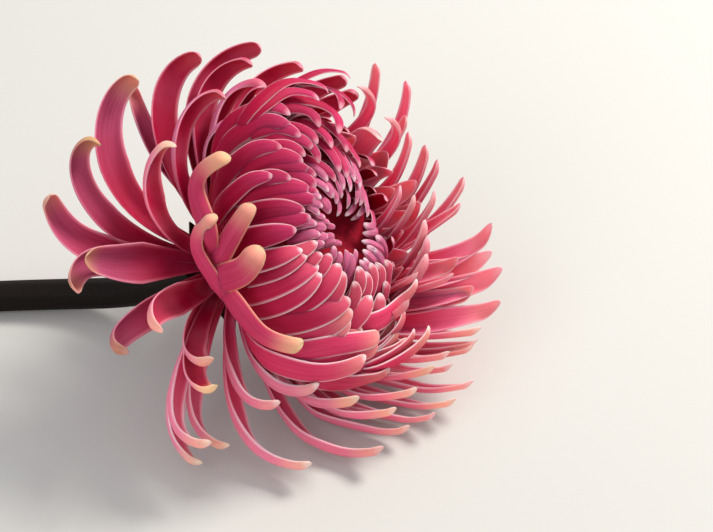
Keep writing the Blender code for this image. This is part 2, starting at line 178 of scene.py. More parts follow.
LOWER_DOME = (
    Drawn(316, 238, 307, 247, 270, 258, 6.2),
    Drawn(302, 245, 283, 254, 243, 264, 6.8),
    Drawn(306, 251, 287, 264, 246, 275, 7.0),
    Drawn(322, 250, 314, 258, 292, 270, 5.4),
    Drawn(319, 260, 294, 275, 240, 292, 8.6),
    Drawn(321, 270, 300, 290, 250, 307, 7.8),
    Drawn(331, 250, 325, 263, 300, 284, 5.0),
    Drawn(340, 259, 328, 282, 268, 314, 7.0),
    Drawn(344, 269, 334, 294, 276, 326, 6.4),
    Drawn(353, 295, 325, 312, 258, 322, 8.2),
    Drawn(356, 308, 328, 326, 262, 336, 8.0),
    Drawn(375, 293, 355, 320, 290, 350, 7.6),
    Drawn(385, 294, 376, 317, 330, 352, 7.0),
    Drawn(403, 300, 391, 322, 345, 352, 7.2),
    Drawn(359, 266, 361, 279, 350, 303, 5.0),
    Drawn(371, 263, 374, 280, 364, 306, 5.0),
    Drawn(379, 264, 382, 282, 374, 308, 5.0),
    Drawn(355, 283, 356, 295, 340, 316, 5.2),
    Drawn(367, 272, 368, 288, 358, 308, 4.4),
    Drawn(387, 283, 386, 298, 376, 320, 4.8),
    Drawn(396, 316, 385, 338, 352, 358, 6.6),
    Drawn(404, 326, 392, 346, 362, 364, 6.4),
    Drawn(368, 328, 345, 338, 300, 350, 7.0),
    Drawn(352, 318, 330, 338, 288, 348, 6.0),
    Drawn(388, 262, 389, 280, 384, 304, 4.6),
)
# the florets round the sunken middle
CROWN = (
    Drawn(354, 192, 351, 180, 344, 162, 3.4),
    Drawn(364, 188, 359, 172, 349, 154, 3.8),
    Drawn(346, 190, 344, 180, 337, 165, 3.0),
    Drawn(344, 199, 341, 188, 336, 175, 2.4),
    Drawn(337, 198, 330, 187, 316, 175, 4.6),
    Drawn(339, 205, 338, 195, 331, 183, 3.0),
    Drawn(334, 215, 328, 204, 314, 193, 4.6),
    Drawn(339, 217, 341, 210, 340, 200, 2.6),
    Drawn(323, 214, 317, 209, 306, 202, 3.4),
    Drawn(328, 217, 323, 215, 314, 211, 2.4),
    Drawn(332, 222, 327, 220, 319, 217, 2.2),
    Drawn(331, 229, 322, 228, 306, 226, 4.6),
    Drawn(320, 222, 312, 221, 298, 222, 4.2),
    Drawn(337, 235, 331, 236, 322, 238, 2.8),
    Drawn(344, 243, 338, 242, 328, 244, 2.4),
    Drawn(347, 217, 352, 212, 357, 203, 2.6),
    Drawn(352, 222, 356, 219, 362, 211, 2.4),
    Drawn(358, 206, 359, 195, 357, 180, 2.8),
    Drawn(363, 207, 364, 197, 361, 182, 3.0),
    Drawn(359, 218, 363, 213, 366, 202, 3.4),
    Drawn(366, 222, 371, 226, 374, 214, 3.4),
    Drawn(363, 231, 370, 233, 377, 230, 3.0),
    Drawn(362, 239, 374, 243, 384, 254, 3.0),
    Drawn(379, 236, 385, 243, 388, 258, 3.8),
    Drawn(342, 249, 341, 257, 335, 269, 3.4),
    Drawn(348, 247, 349, 260, 344, 279, 3.2),
    Drawn(354, 250, 354, 263, 347, 284, 4.0),
    Drawn(358, 248, 357, 257, 354, 270, 2.4),
    Drawn(361, 259, 366, 267, 367, 283, 3.2),
    Drawn(366, 256, 370, 265, 372, 280, 3.0),
    Drawn(364, 248, 371, 255, 378, 270, 3.2),
    Drawn(368, 246, 377, 254, 383, 270, 3.2),
    Drawn(334, 244, 334, 252, 327, 264, 3.0),
    Drawn(327, 240, 320, 243, 308, 249, 3.4),
    Drawn(332, 236, 324, 237, 310, 240, 3.4),
    Drawn(324, 232, 314, 232, 300, 236, 4.2),
    Drawn(326, 206, 316, 202, 304, 197, 3.6),
    Drawn(324, 197, 314, 193, 300, 190, 3.6),
    Drawn(332, 190, 322, 182, 306, 176, 3.6),
    Drawn(330, 180, 322, 171, 308, 162, 3.6),
    Drawn(358, 181, 352, 168, 341, 150, 3.4),
    Drawn(337, 228, 330, 226, 320, 222, 2.2),
    Drawn(338, 240, 332, 240, 322, 244, 2.6),
    Drawn(349, 210, 350, 202, 349, 192, 2.2),
    Drawn(371, 218, 369, 205, 364, 190, 3.4),
    Drawn(374, 247, 382, 258, 386, 276, 3.2),
)
# Florets that stand off the dome at its top and on its near side: as above, then how far.
CREST = (
    Drawn(332, 90, 302, 79, 258, 100, 4.0, 3.4),
    Drawn(322, 98, 300, 90, 262, 106, 4.2, 2.4),
    Drawn(343, 107, 333, 89, 300, 82, 3.6, 2.8),
    Drawn(341, 131, 330, 107, 292, 97, 4.6, 1.6),
    Drawn(359, 116, 347, 96, 318, 84, 4.0, 0.8),
    Drawn(353, 75, 332, 69, 302, 77, 3.4, 5.0),
)
SKIRT = (
    Drawn(386, 333, 343, 345, 270, 352, 6.4, 1.6),
    Drawn(384, 344, 350, 357, 285, 362, 5.8, 1.8),
    Drawn(371, 357, 326, 374, 276, 366, 6.8, 4.0),
    Drawn(411, 308, 399, 331, 360, 358, 7.0, 1.8),
    Drawn(423, 281, 406, 300, 374, 324, 6.2, 2.4),
    Drawn(412, 342, 380, 359, 325, 374, 7.6, 3.0),
    Drawn(421, 331, 408, 346, 370, 368, 6.6, 2.6),
    Drawn(435, 327, 422, 345, 388, 368, 6.2, 4.0),
    Drawn(395, 373, 366, 382, 318, 380, 6.6, 5.0),
    Drawn(404, 322, 392, 342, 352, 366, 6.6, 1.4),
)
STANDING = (
    Drawn(260, 246, 241, 271, 220, 280, 7.8, 7.0),
    Drawn(252, 201, 235, 226, 216, 258, 6.2, 5.0),
    Drawn(213, 214, 193, 241, 212, 284, 5.0, 6.5),
    Drawn(228, 152, 194, 178, 203, 228, 6.0, 8.0),
    Drawn(306, 350, 264, 340, 230, 304, 6.4, 5.0),
)

# the dome that its florets lie on: half its size along three axes, where its middle is, and the
# clock angles of its longest axis and of the side it leans to
DOME_HIGH = 39.0 * MM
DOME_ACROSS = 29.0 * MM
DOME_DEEP = 25.0 * MM
DOME_RISE = 20.0 * MM
DOME_ASIDE = 4.0 * MM
DOME_TURN = 30.0
DOME_LEAN = 125.0
# where its florets leave the receptacle, out from the head's axis and along it
DOME_SEAT = 6.4 * MM
DOME_SEAT_RISE = 2.0 * MM
# florets narrower than this, in millimetres, are lifted less
BROAD_FLORET = 7.0
# how high a floret lies on the dome at its tip, half way and low down
TIP_LIFT = 0.9 * MM
MIDDLE_LIFT = -0.4 * MM
LOW_LIFT = -1.6 * MM
# the nearer to the hollow, in pixels of the picture, the deeper a floret lies
RING_SINK = 2.4 * MM
RING_REACH = 120.0
# and how many times as deep it lies low down as at its tip
LOW_SINK = 1.6
# the hollow in the dome's middle, in pixels of the picture, and how deep it sinks
HOLLOW = (350.0, 230.0)
HOLLOW_WIDTH = 40.0
HOLLOW_HEIGHT = 55.0
HOLLOW_DEPTH = 9.0 * MM
# how far a floret leaves its seat sideways before it turns up round the dome
LAUNCH_ASIDE = 0.7
# how high over the surface a floret's middle line stays, and how softly it comes to that
FLOOR_CLEAR = 2.2 * MM
FLOOR_EASE = 0.8 * MM
# how far the dome's florets bend back towards it at their tips
TIP_DIP = 0.35
# florets of the lower dome with tips above this row of the picture are deeper in colour
MIDDLE_DOME_END = 300
# the dome's hidden sides: from and to in degrees round it from its longest axis, and how high
# up it; then how many florets each has and how they are spread
HIDDEN_SIDES = ((5.0, 60.0, 38.0), (62.0, 118.0, 50.0), (115.0, 165.0, 36.0))
HIDDEN_FLORETS = 14
GOLDEN_SHARE = 0.618
# how many degrees below its tip each point of a hidden floret lies, and its lift
HIDDEN_POINTS = ((32.0, LOW_LIFT), (14.0, MIDDLE_LIFT), (0.0, TIP_LIFT))
HIDDEN_WIDTHS = (5.4, 6.8)

# broad florets behind the far side: their clock angles, reach, rise and how far they stray
FILLING_FLORETS = 14
FILLING_START = 48.0
FILLING_SPAN = 128.0
FILLING_REACH = 36.0
FILLING_RISE = 33.0
FILLING_STRAY = 3.0

# the seeds of the draws, apart from those of the rim's pieces
DOME_SEED = 7
FILLING_SEED = 47
BRACT_SEED = 12

# the receptacle behind the florets as (reach, rise) pairs, and the core inside the dome: its
# size as a share of the dome's, its lowest and highest degrees, and the hollow in it
RECEPTACLE_PROFILE = ((8.6 * MM, -1.4 * MM), (12.0 * MM, 3.0 * MM), (14.0 * MM, 8.0 * MM))
CORE_SHARE = 0.76
CORE_LOWEST = -62.0
CORE_HIGHEST = 90.0
CORE_STEPS = 24
CORE_HOLLOW = 8.0 * MM
CORE_HOLLOW_WIDTH = 11.0 * MM
# the sides of the solids round the head's axis
ROUND_SIDES = 48


def colour(red, green, blue):
    """A linear colour from its display values, 0 to 255."""
    linear = []
    for value in (red, green, blue):
        part = value / 255.0
        linear.append(part / 12.92 if part <= 0.04045 else ((part + 0.055) / 1.055) ** 2.4)
    return (*linear, 1.0)


# petal colours
DEEP = colour(116, 0, 36)
CRIMSON = colour(158, 6, 52)
ROSE = colour(178, 28, 68)
WINE = colour(128, 24, 56)
HEATHER = colour(178, 84, 118)
TAN = colour(190, 122, 120)
CORAL = colour(224, 100, 124)
DUSKY = colour(190, 58, 96)
RASPBERRY = colour(206, 58, 96)
FUCHSIA = colour(228, 34, 122)
ROSE_PINK = colour(246, 124, 158)
PINK = colour(212, 64, 108)
MAUVE = colour(186, 52, 98)
DUSTY = colour(200, 112, 146)
PALE_PINK = colour(232, 130, 154)
# the pale margins' colour: the petals' own blush with painted highlight
BLUSH_AND_HIGHLIGHT = colour(252, 200, 208)
CREAM = colour(240, 204, 150)
OLIVE = colour(206, 182, 104)

# colours of the core, the bracts and the bark
CORE_RED = colour(150, 0, 34)
BRACT_BROWN = colour(62, 58, 30)
BARK_BROWN = colour(20, 11, 5)

# in each look the margin colour and its amount are the petals' own pale edge with painted highlight
REFLEXED_LOOK = Look(WINE, HEATHER, TAN, CRIMSON, HEATHER, BLUSH_AND_HIGHLIGHT, 0.3, OLIVE, 0.6)
UPPER_LOOK = Look(CRIMSON, DUSTY, MAUVE, CRIMSON, ROSE, BLUSH_AND_HIGHLIGHT, 0.3, CREAM, 0.1)
NEAR_LOOK = Look(CRIMSON, PALE_PINK, PALE_PINK, CRIMSON, ROSE, BLUSH_AND_HIGHLIGHT, 0.3, CREAM, 0.95)
LOWER_LOOK = Look(MAUVE, PALE_PINK, PALE_PINK, PINK, PALE_PINK, BLUSH_AND_HIGHLIGHT, 1.0, CREAM, 0.6)
STANDING_LOOK = Look(CRIMSON, DUSKY, CORAL, CRIMSON, ROSE, CREAM, 0.45, CREAM, 0.85)
FAR_LOOK = Look(PINK, PALE_PINK, PALE_PINK, FUCHSIA, ROSE_PINK, BLUSH_AND_HIGHLIGHT, 0.5, CREAM, 0.3)
FINGER_LOOK = Look(CRIMSON, DUSKY, PALE_PINK, FUCHSIA, ROSE_PINK, BLUSH_AND_HIGHLIGHT, 0.6, CREAM, 0.25)
UPPER_DOME_LOOK = Look(DEEP, CRIMSON, MAUVE, DEEP, CRIMSON, BLUSH_AND_HIGHLIGHT, 0.6, CREAM, 0.0)
MIDDLE_DOME_LOOK = Look(CRIMSON, ROSE, PINK, DEEP, CRIMSON, BLUSH_AND_HIGHLIGHT, 1.0, CREAM, 0.12)
LOWER_DOME_LOOK = Look(CRIMSON, RASPBERRY, CORAL, DEEP, CRIMSON, BLUSH_AND_HIGHLIGHT, 1.0, CREAM, 0.35)
CROWN_LOOK = Look(DEEP, MAUVE, DUSTY, DEEP, CRIMSON, BLUSH_AND_HIGHLIGHT, 0.9, CREAM, 0.0)

# How a floret's blade is made: its mesh's stations and strips, its channel in degrees, its
# thickness and that of its margins, and how it tapers and closes at the tip. Then come grooves,
# waves, twist and notches, the lay that lifts one margin over the next floret, and how round
# the tip is.
RIM_FORM = Form(
    stations=40, strips=12, channel=70.0, thickness=0.6 * MM, margin=0.32 * MM, taper=0.55, hood=0.3,
    groove=0.05 * MM, wave=0.05, twist=14.0, notch=0.2 * MM, lay=0.0, point=0.8,
)
FAR_FORM = RIM_FORM._replace(channel=60.0, taper=0.52, hood=0.6, twist=10.0, point=0.9)
FINGER_FORM = RIM_FORM._replace(
    channel=82.0, thickness=0.55 * MM, taper=0.45, twist=8.0, lay=40.0, point=1.0,
)
FAN_FORM = RIM_FORM._replace(strips=14, channel=80.0, taper=0.6, twist=6.0, lay=42.0, point=0.9)
STANDING_FORM = RIM_FORM._replace(channel=58.0, taper=0.3, hood=0.5, wave=0.03, twist=3.0, point=0.7)
UPPER_DOME_FORM = Form(
    stations=32, strips=10, channel=40.0, thickness=0.5 * MM, margin=0.3 * MM, taper=0.5, hood=0.3,
    groove=0.04 * MM, wave=0.03, twist=5.0, notch=0.15 * MM, lay=-14.0, point=1.3,
)
LOWER_DOME_FORM = UPPER_DOME_FORM._replace(
    strips=12, channel=27.0, taper=0.42, groove=0.03 * MM, twist=4.0, notch=0.2 * MM, lay=29.0, point=1.2,
)
CROWN_FORM = UPPER_DOME_FORM._replace(
    stations=24, channel=60.0, thickness=0.45 * MM, margin=0.28 * MM, taper=0.4, groove=0.1 * MM,
    wave=0.05, twist=10.0, lay=8.0, point=1.2,
)
BRACT_FORM = UPPER_DOME_FORM._replace(
    stations=14, strips=8, thickness=0.7 * MM, hood=0.2, groove=0.03 * MM, twist=6.0, notch=0.1 * MM,
    lay=0.0, point=1.0,
)

# what all blades share: the points of their middle lines, how the stations crowd towards the
# tip, how wide the blade is at its root and where it is widest
SPINE_POINTS = 240
BEND_POINTS = 60
LAST_SHARE = 0.9996
SHARE_CURVE = 1.8
ROOT_WIDTH = 0.42
WIDEST = 0.55
SWELL_CURVE = 1.2
TAPER_CURVE = 1.6
# how far each floret strays from its form, and the shape of its waves, grooves and lobes
WIDTH_STRAY = 0.05
TWIST_CURVE = 1.5
CHANNEL_CLOSE = 0.2
CHANNEL_CURVE = 6
WAVE_PACES = (1.2, 2.2)
GROOVE_WAVES = 1.25
LOBE_WAVES = 0.75
LOBE_STRAY = 0.6
NOTCH_SHARES = (0.2, 1.0)
# how the blade thins to its margins and its ends, and how warm the florets' tips are
MARGIN_CURVE = 4
THIN_END = 0.45
WARM_SHARES = (0.4, 1.0)

# the stem: its radii at the cut and at the neck, the share of its length in which it widens, the
# neck's length, how far along and aside of the neck it bends, and its ribs
STEM_RADIUS = 4.3 * MM
STEM_NECK_RADIUS = 3.7 * MM
STEM_WIDENS = 0.5
STEM_NECK = 27.0 * MM
STEM_KNEE = (-20.0 * MM, 8.0 * MM)
STEM_TURN = (-40.0 * MM, 9.0 * MM)
STEM_CUT = (-80.4 * MM, 5.0 * MM)
STEM_SIDES = 40
STEM_STATIONS = 110
STEM_RIBS = 8
STEM_RIB_DEPTH = 0.02
STEM_RIB_TURN = 3.0

# the cup behind the florets, its gap to the stem and its outline as (reach, rise) pairs, then each
# ring of bracts: how many, how far they reach and where their tips rise to, in millimetres
CUP_FRONT = -2.0 * MM
CUP_BACK = -11.0 * MM
NODE_GAP = 0.3 * MM
CUP_PROFILE = (
    (4.3 * MM, CUP_BACK),
    (5.0 * MM, CUP_BACK + 1.5 * MM),
    (5.8 * MM, CUP_BACK + 3.0 * MM),
    (7.4 * MM, CUP_BACK + 5.5 * MM),
    (8.4 * MM, CUP_FRONT - 1.5 * MM),
    (8.8 * MM, CUP_FRONT),
)
BRACT_RINGS = ((13, 15.2, -4.6), (13, 12.0, -6.2), (9, 9.0, -8.0))

# the camera: it looks along +Y and down at an angle, and shows the head's base at a named pixel
CAMERA_HEIGHT = math.radians(40.0)
CAMERA_DISTANCE = 550.0 * MM
PICTURE_WIDTH = 713.0
PICTURE_HEIGHT = 532.0
PIXELS_PER_MM = 3.8
HEAD_BASE_PIXEL = (230.0, 264.0)
SENSOR_WIDTH = 36.0

# the petal skin: from where to where along the floret each colour comes in
MIDDLE_COMES = (0.15, 0.6)
TIP_COMES = (0.72, 1.0)
INNER_TIP_COMES = (0.3, 0.95)
# the pale margins and the pale end: the petals' own pale edge with painted highlight
RIM_AND_HIGHLIGHT_COMES = (0.3, 0.75)
RIM_AND_HIGHLIGHT_AT_ROOT = 0.15
PALE_END_AND_HIGHLIGHT_COMES = (0.955, 0.995)
WARM_COMES = (0.8, 0.97)
# the same for the pale margins and their painted highlight, from the middle of the blade to its margin
RIM_AND_HIGHLIGHT_ACROSS = (0.76, 1.0)
# its streaks: how they run across, along and from floret to floret, and how they show
STREAKS_ACROSS = 7.0
STREAKS_ALONG = 1.6
STREAKS_APART = 40.0
STREAK_SCALE = 1.4
STREAK_DETAIL = 3.0
STREAK_AMOUNT = 0.3
STREAK_BUMP = 0.35
STREAK_DEPTH = 0.12 * MM
# clouds of the middle colour, the part of a noise that shows, and how florets differ
CLOUD_SCALE = 90.0
CLOUD_AMOUNT = 0.18
NOISE_BAND = (0.35, 0.7)
BRIGHTNESS = (0.9, 1.1)
# how rough the skin is over a part of its streaks' noise
ROUGH_BAND = (0.2, 0.8)
PETAL_ROUGHNESS = (0.5, 0.66)
PETAL_SHADER = {
    "Subsurface Weight": 0.6,
    "Subsurface Radius": (1.0, 0.3, 0.4),
    "Subsurface Scale": 1.6 * MM,
    "Specular IOR Level": 0.12,
}
# the grain of the plain skins
GRAIN_SCALE = 900.0
GRAIN_DETAIL = 4.0
GRAIN_BAND = (0.3, 0.7)
GRAIN_AMOUNT = 0.6
GRAIN_DARK = 0.4
GRAIN_BUMP = 0.4
GRAIN_DEPTH = 0.3 * MM
PLAIN_SHINE = 0.15

# the floor, and what the lights aim at
FLOOR_REACH = 4.0
FLOOR_LEVEL = -0.2 * MM
FLOOR_COLOUR = (0.56, 0.55, 0.52, 1.0)
FLOOR_ROUGHNESS = 0.9
LIT_POINT = (0.02, 0.0, 0.035)
SKY_COLOUR = (0.9, 0.92, 0.95, 1.0)
SKY_STRENGTH = 0.7

# the colour mix node's sockets
MIX_FACTOR = 0
MIX_FIRST = 6
MIX_SECOND = 7
MIX_RESULT = 2


def head_axes():
    """The head's forward axis, its highest side and the square to both."""
    forward = np.array([
        math.cos(HEAD_RISE) * math.cos(HEAD_TURN),
        math.cos(HEAD_RISE) * math.sin(HEAD_TURN),
        math.sin(HEAD_RISE),
    ])
    high = np.array([0.0, 0.0, 1.0]) - forward[2] * forward
    high /= np.linalg.norm(high)
    return forward, high, np.cross(forward, high)


FORWARD, HIGH, ACROSS = head_axes()


def outward(clock):
    """The direction from the head's axis at a clock angle, or at many."""
    turn = np.radians(clock)
    return np.multiply.outer(np.cos(turn), HIGH) - np.multiply.outer(np.sin(turn), ACROSS)


def on_head(clock, reach, rise):
    """The point at a clock angle, a reach from the head's axis and a rise along it."""
    return HEAD_BASE + outward(clock) * reach + FORWARD * rise


def toward(clock, lean):
    """The direction that leans from the head's axis towards a clock angle."""
    tilt = math.radians(lean)
    return math.cos(tilt) * FORWARD + math.sin(tilt) * outward(clock)


def unit_rows(rows):
    """Rows of directions, each made one long."""
    return rows / np.linalg.norm(rows, axis=1)[:, None]


def spaced(bend, shares):
    """Points along a line, at shares of its length, and that length."""
    gone = np.concatenate([[0.0], np.cumsum(np.linalg.norm(np.diff(bend, axis=0), axis=1))])
    points = np.stack([np.interp(shares * gone[-1], gone, bend[:, k]) for k in range(3)], axis=1)
    return points, gone[-1]


def spine(floret):
    """Points down the middle of a floret, as one cubic bend from root to tip."""
    root = on_head(floret.root, floret.seat_radius * MM, floret.seat_rise * MM)
    tip = on_head(floret.clock, floret.reach * MM, floret.rise * MM)
    span = np.linalg.norm(tip - root)
    leave = root + toward(floret.root, floret.launch) * span * floret.fullness
    arrive = tip - toward(floret.heading, floret.arrival) * span * floret.hook
    t = np.linspace(0.0, 1.0, SPINE_POINTS)[:, None]
    s = 1.0 - t
    return s ** 3 * root + 3 * s * s * t * leave + 3 * s * t * t * arrive + t ** 3 * tip


def carried(side, run):
    """The first crossing direction, carried along the run without turning round it."""
    sides = []
    for direction in run:
        side = side - direction * np.dot(side, direction)
        side = side / np.linalg.norm(side)
        sides.append(side)
    return np.array(sides)


def blade(shares, rounding, taper):
    """The blade's width as a share: narrow at the root, then wide, with a round end."""
    swell = ROOT_WIDTH + (1.0 - ROOT_WIDTH) * np.minimum(shares / WIDEST, 1.0) ** SWELL_CURVE
    fall = taper * np.clip((shares - WIDEST) / (1.0 - WIDEST), 0.0, 1.0) ** TAPER_CURVE
    return swell * (1.0 - fall) * np.sqrt(1.0 - (1.0 - rounding) ** 2)


def blade_shares(form):
    """Where a blade's stations lie along it, closer together towards the tip."""
    steps = np.linspace(0.0, 1.0, form.stations)
    return LAST_SHARE * (1.0 - (1.0 - steps) ** SHARE_CURVE)


def floret_sheet(floret, form, draw):
    """A floret given by angles and distances on the head."""
    middle, length = spaced(spine(floret), blade_shares(form))
    above = (middle[:, 2] - FLOOR_CLEAR) / FLOOR_EASE
    middle[:, 2] = FLOOR_CLEAR + FLOOR_EASE * np.logaddexp(0.0, above)
    run = unit_rows(np.gradient(middle, axis=0))
    side = carried(np.cross(FORWARD, outward(floret.root)), run)
    return sheet(middle, run, np.cross(run, side), length, floret.width, form, draw)


def blade_points(middle, run, inner, length, width, form, draw):
    """A blade's back and its fold: rows of points from one margin to the other."""
    shares = blade_shares(form)
    side = np.cross(inner, run)
    twist = math.radians(draw.gauss(form.lay, form.twist)) * shares ** TWIST_CURVE
    inner = inner * np.cos(twist)[:, None] + side * np.sin(twist)[:, None]
    side = np.cross(inner, run)

    full_width = width * MM * (1.0 + draw.uniform(-WIDTH_STRAY, WIDTH_STRAY))
    end_length = form.point * full_width * (1.0 - 0.5 * form.taper)
    rounding = np.clip((1.0 - shares) * length / end_length, 0.0, 1.0)
    shape = blade(shares, rounding, form.taper)
    widths = full_width * shape
    across = np.linspace(-1.0, 1.0, form.strips + 1)
    channel = math.radians(form.channel) * (1.0 + CHANNEL_CLOSE * shares ** CHANNEL_CURVE)
    radius = (0.5 * widths / np.sin(channel))[:, None]
    angle = channel[:, None] * across[None, :]

    phase = draw.uniform(0.0, 2.0 * math.pi)
    pace = draw.uniform(*WAVE_PACES)
    wave = form.wave * widths * np.sin(2.0 * math.pi * pace * shares + phase)
    tilt = wave[:, None] * across[None, :] * np.abs(across[None, :])
    groove = form.groove * np.cos(2.0 * math.pi * GROOVE_WAVES * across)[None, :] * shape[:, None]
    hood = form.hood * full_width * (1.0 - rounding) ** 2
    aside = radius * np.sin(angle)
    lift = radius * (1.0 - np.cos(angle)) + tilt + groove + hood[:, None]
    lobes = np.cos(2.0 * math.pi * LOBE_WAVES * across + draw.uniform(-LOBE_STRAY, LOBE_STRAY))
    back = form.notch * draw.uniform(*NOTCH_SHARES) * (1.0 - rounding)
    outer = (
        middle[:, None, :]
        + side[:, None, :] * aside[:, :, None]
        + inner[:, None, :] * lift[:, :, None]
        - run[:, None, :] * (back[:, None] * (1.0 + lobes[None, :]))[:, :, None]
    )
    normal = inner[:, None, :] * np.cos(angle)[:, :, None] - side[:, None, :] * np.sin(angle)[:, :, None]
    depth = form.margin + (form.thickness - form.margin) * (1.0 - across ** MARGIN_CURVE)
    depth = depth[None, :] * (THIN_END + (1.0 - THIN_END) * shape)[:, None]
    return outer, outer + normal * depth[:, :, None]


def blade_faces(rows, columns):
    """A closed blade's faces: its back, its fold and the strips between their edges."""
    count = rows * columns
    index = np.arange(count).reshape(rows, columns)
    a, b, c, d = index[:-1, :-1], index[:-1, 1:], index[1:, 1:], index[1:, :-1]
    faces = [np.stack([a, b, c, d], -1).reshape(-1, 4)]
    faces.append(np.stack([d, c, b, a], -1).reshape(-1, 4) + count)
    edges = ((index[:, 0], False), (index[:, -1], True), (index[0], True), (index[-1], False))
    for edge, flip in edges:
        near, far = edge[:-1], edge[1:]
        strip = np.stack([near, far, far + count, near + count], -1)
        faces.append(strip[:, ::-1] if flip else strip)
    return np.concatenate(faces)


def sheet(middle, run, inner, length, width, form, draw):
    """One closed channelled blade: its points, faces and surface values."""
    outer, fold = blade_points(middle, run, inner, length, width, form, draw)
    columns = form.strips + 1
    count = form.stations * columns
    along = np.repeat(blade_shares(form), columns)
    values = {
        "along": np.concatenate([along, along]),
        "across": np.tile(np.linspace(-1.0, 1.0, columns), form.stations * 2),
        "inside": np.concatenate([np.zeros(count), np.ones(count)]),
        "tone": np.full(count * 2, draw.uniform(-1.0, 1.0)),
        "warm": np.full(count * 2, draw.uniform(*WARM_SHARES)),
    }
    points = np.concatenate([outer.reshape(-1, 3), fold.reshape(-1, 3)])
    return points, blade_faces(form.stations, columns), values


def new_object(name, points, faces, material):
    mesh = bpy.data.meshes.new(name)
    mesh.from_pydata(points, [], faces)
    mesh.shade_smooth()
    mesh.materials.append(material)
    piece = bpy.data.objects.new(name, mesh)
    bpy.context.scene.collection.objects.link(piece)
    return piece


def sheet_object(name, sheets, material):
    """One object from many closed sheets, with their surface values."""
    points = []
    faces = []
    start = 0
    for sheet_points, sheet_faces, _ in sheets:
        points.append(sheet_points)
        faces.append(sheet_faces + start)
        start += len(sheet_points)
    points = np.concatenate(points).tolist()
    piece = new_object(name, points, np.concatenate(faces).tolist(), material)
    for key in sheets[0][2]:
        attribute = piece.data.attributes.new(key, "FLOAT", "POINT")
        attribute.data.foreach_set("value", np.concatenate([sheet[2][key] for sheet in sheets]))
    return piece


def floret_piece(name, florets, form, look, seed):
    draw = random.Random(seed)
    sheets = [floret_sheet(floret, form, draw) for floret in florets]
    bloom_piece(name, sheets, look)


def bloom_piece(name, sheets, look):
    piece = sheet_object(name, sheets, petal_material(name, look))
    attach(piece, "root")
    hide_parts("ray_florets")


def camera_axes():
    """The camera's place, its right, its up and its backward directions."""
    right = np.array([1.0, 0.0, 0.0])
    back = np.array([0.0, -math.cos(CAMERA_HEIGHT), math.sin(CAMERA_HEIGHT)])
    up = np.cross(back, right)
    per_pixel = MM / PIXELS_PER_MM
    target = (
        HEAD_BASE
        + right * (0.5 * PICTURE_WIDTH - HEAD_BASE_PIXEL[0]) * per_pixel
        + up * (HEAD_BASE_PIXEL[1] - 0.5 * PICTURE_HEIGHT) * per_pixel
    )
    return target + back * CAMERA_DISTANCE, right, up, back


CAMERA, CAMERA_RIGHT, CAMERA_UP, CAMERA_BACK = camera_axes()
DOME_MIDDLE = (
    HEAD_BASE + FORWARD * DOME_RISE + outward(DOME_TURN) * DOME_ASIDE + outward(DOME_LEAN) * DOME_ASIDE
)
DOME_AXES = np.array([outward(DOME_TURN), outward(DOME_TURN + 90.0), FORWARD])
DOME_HALF = np.array([DOME_HIGH, DOME_ACROSS, DOME_DEEP])


def on_dome(x, y, lift):
    """The dome's point that shows at a pixel of the picture, raised by a lift."""
    focal = PIXELS_PER_MM * CAMERA_DISTANCE / MM
    ray = (
        CAMERA_RIGHT * (x - 0.5 * PICTURE_WIDTH) / focal
        - CAMERA_UP * (y - 0.5 * PICTURE_HEIGHT) / focal
        - CAMERA_BACK
    )
    apart = math.hypot((x - HOLLOW[0]) / HOLLOW_WIDTH, (y - HOLLOW[1]) / HOLLOW_HEIGHT)
    half = DOME_HALF + lift - HOLLOW_DEPTH * max(1.0 - apart, 0.0) ** 2
    start = DOME_AXES @ (CAMERA - DOME_MIDDLE) / half
    step = DOME_AXES @ ray / half
    square = step @ step
    mixed = start @ step
    inside = max(mixed * mixed - square * (start @ start - 1.0), 0.0)
    return CAMERA + ray * (-mixed - math.sqrt(inside)) / square


def dome_normal(points):
    """The direction straight out of the dome; beside its foot it has no share along the axis."""
    local = (points - DOME_MIDDLE) @ DOME_AXES.T / DOME_HALF ** 2
    local[:, 2] = np.maximum(local[:, 2], 0.0)
    return unit_rows(local @ DOME_AXES)


def through(points, launch):
    """A smooth line through points, with a given first direction, that dips at its end."""
    points = np.array(points)
    chords = np.diff(points, axis=0)
    lengths = np.linalg.norm(chords, axis=1)
    headings = chords / lengths[:, None]
    tangents = [launch]
    for i in range(1, len(points) - 1):
        blend = headings[i - 1] * lengths[i] + headings[i] * lengths[i - 1]
        tangents.append(blend / np.linalg.norm(blend))
    last = headings[-1] - TIP_DIP * dome_normal(points[-1:])[0]
    tangents.append(last / np.linalg.norm(last))
    t = np.linspace(0.0, 1.0, BEND_POINTS, endpoint=False)[:, None]
    line = []
    for i, length in enumerate(lengths):
        line.append(
            (2 * t ** 3 - 3 * t ** 2 + 1) * points[i]
            + (t ** 3 - 2 * t ** 2 + t) * length * tangents[i]
            + (3 * t ** 2 - 2 * t ** 3) * points[i + 1]
            + (t ** 3 - t ** 2) * length * tangents[i + 1]
        )
    return np.concatenate(line + [points[-1:]])


def dome_seat(aside):
    """Where a floret of the dome leaves the receptacle."""
    return HEAD_BASE + aside * DOME_SEAT + FORWARD * DOME_SEAT_RISE


def dome_sheet(points, launch, width, form, draw):
    """A closed blade that runs through points with its back turned out of the dome."""
    middle, length = spaced(through(points, launch), blade_shares(form))
    run = unit_rows(np.gradient(middle, axis=0))
    outer = dome_normal(middle)
    inner = unit_rows((outer * run).sum(axis=1)[:, None] * run - outer)
    return sheet(middle, run, inner, length, width, form, draw)


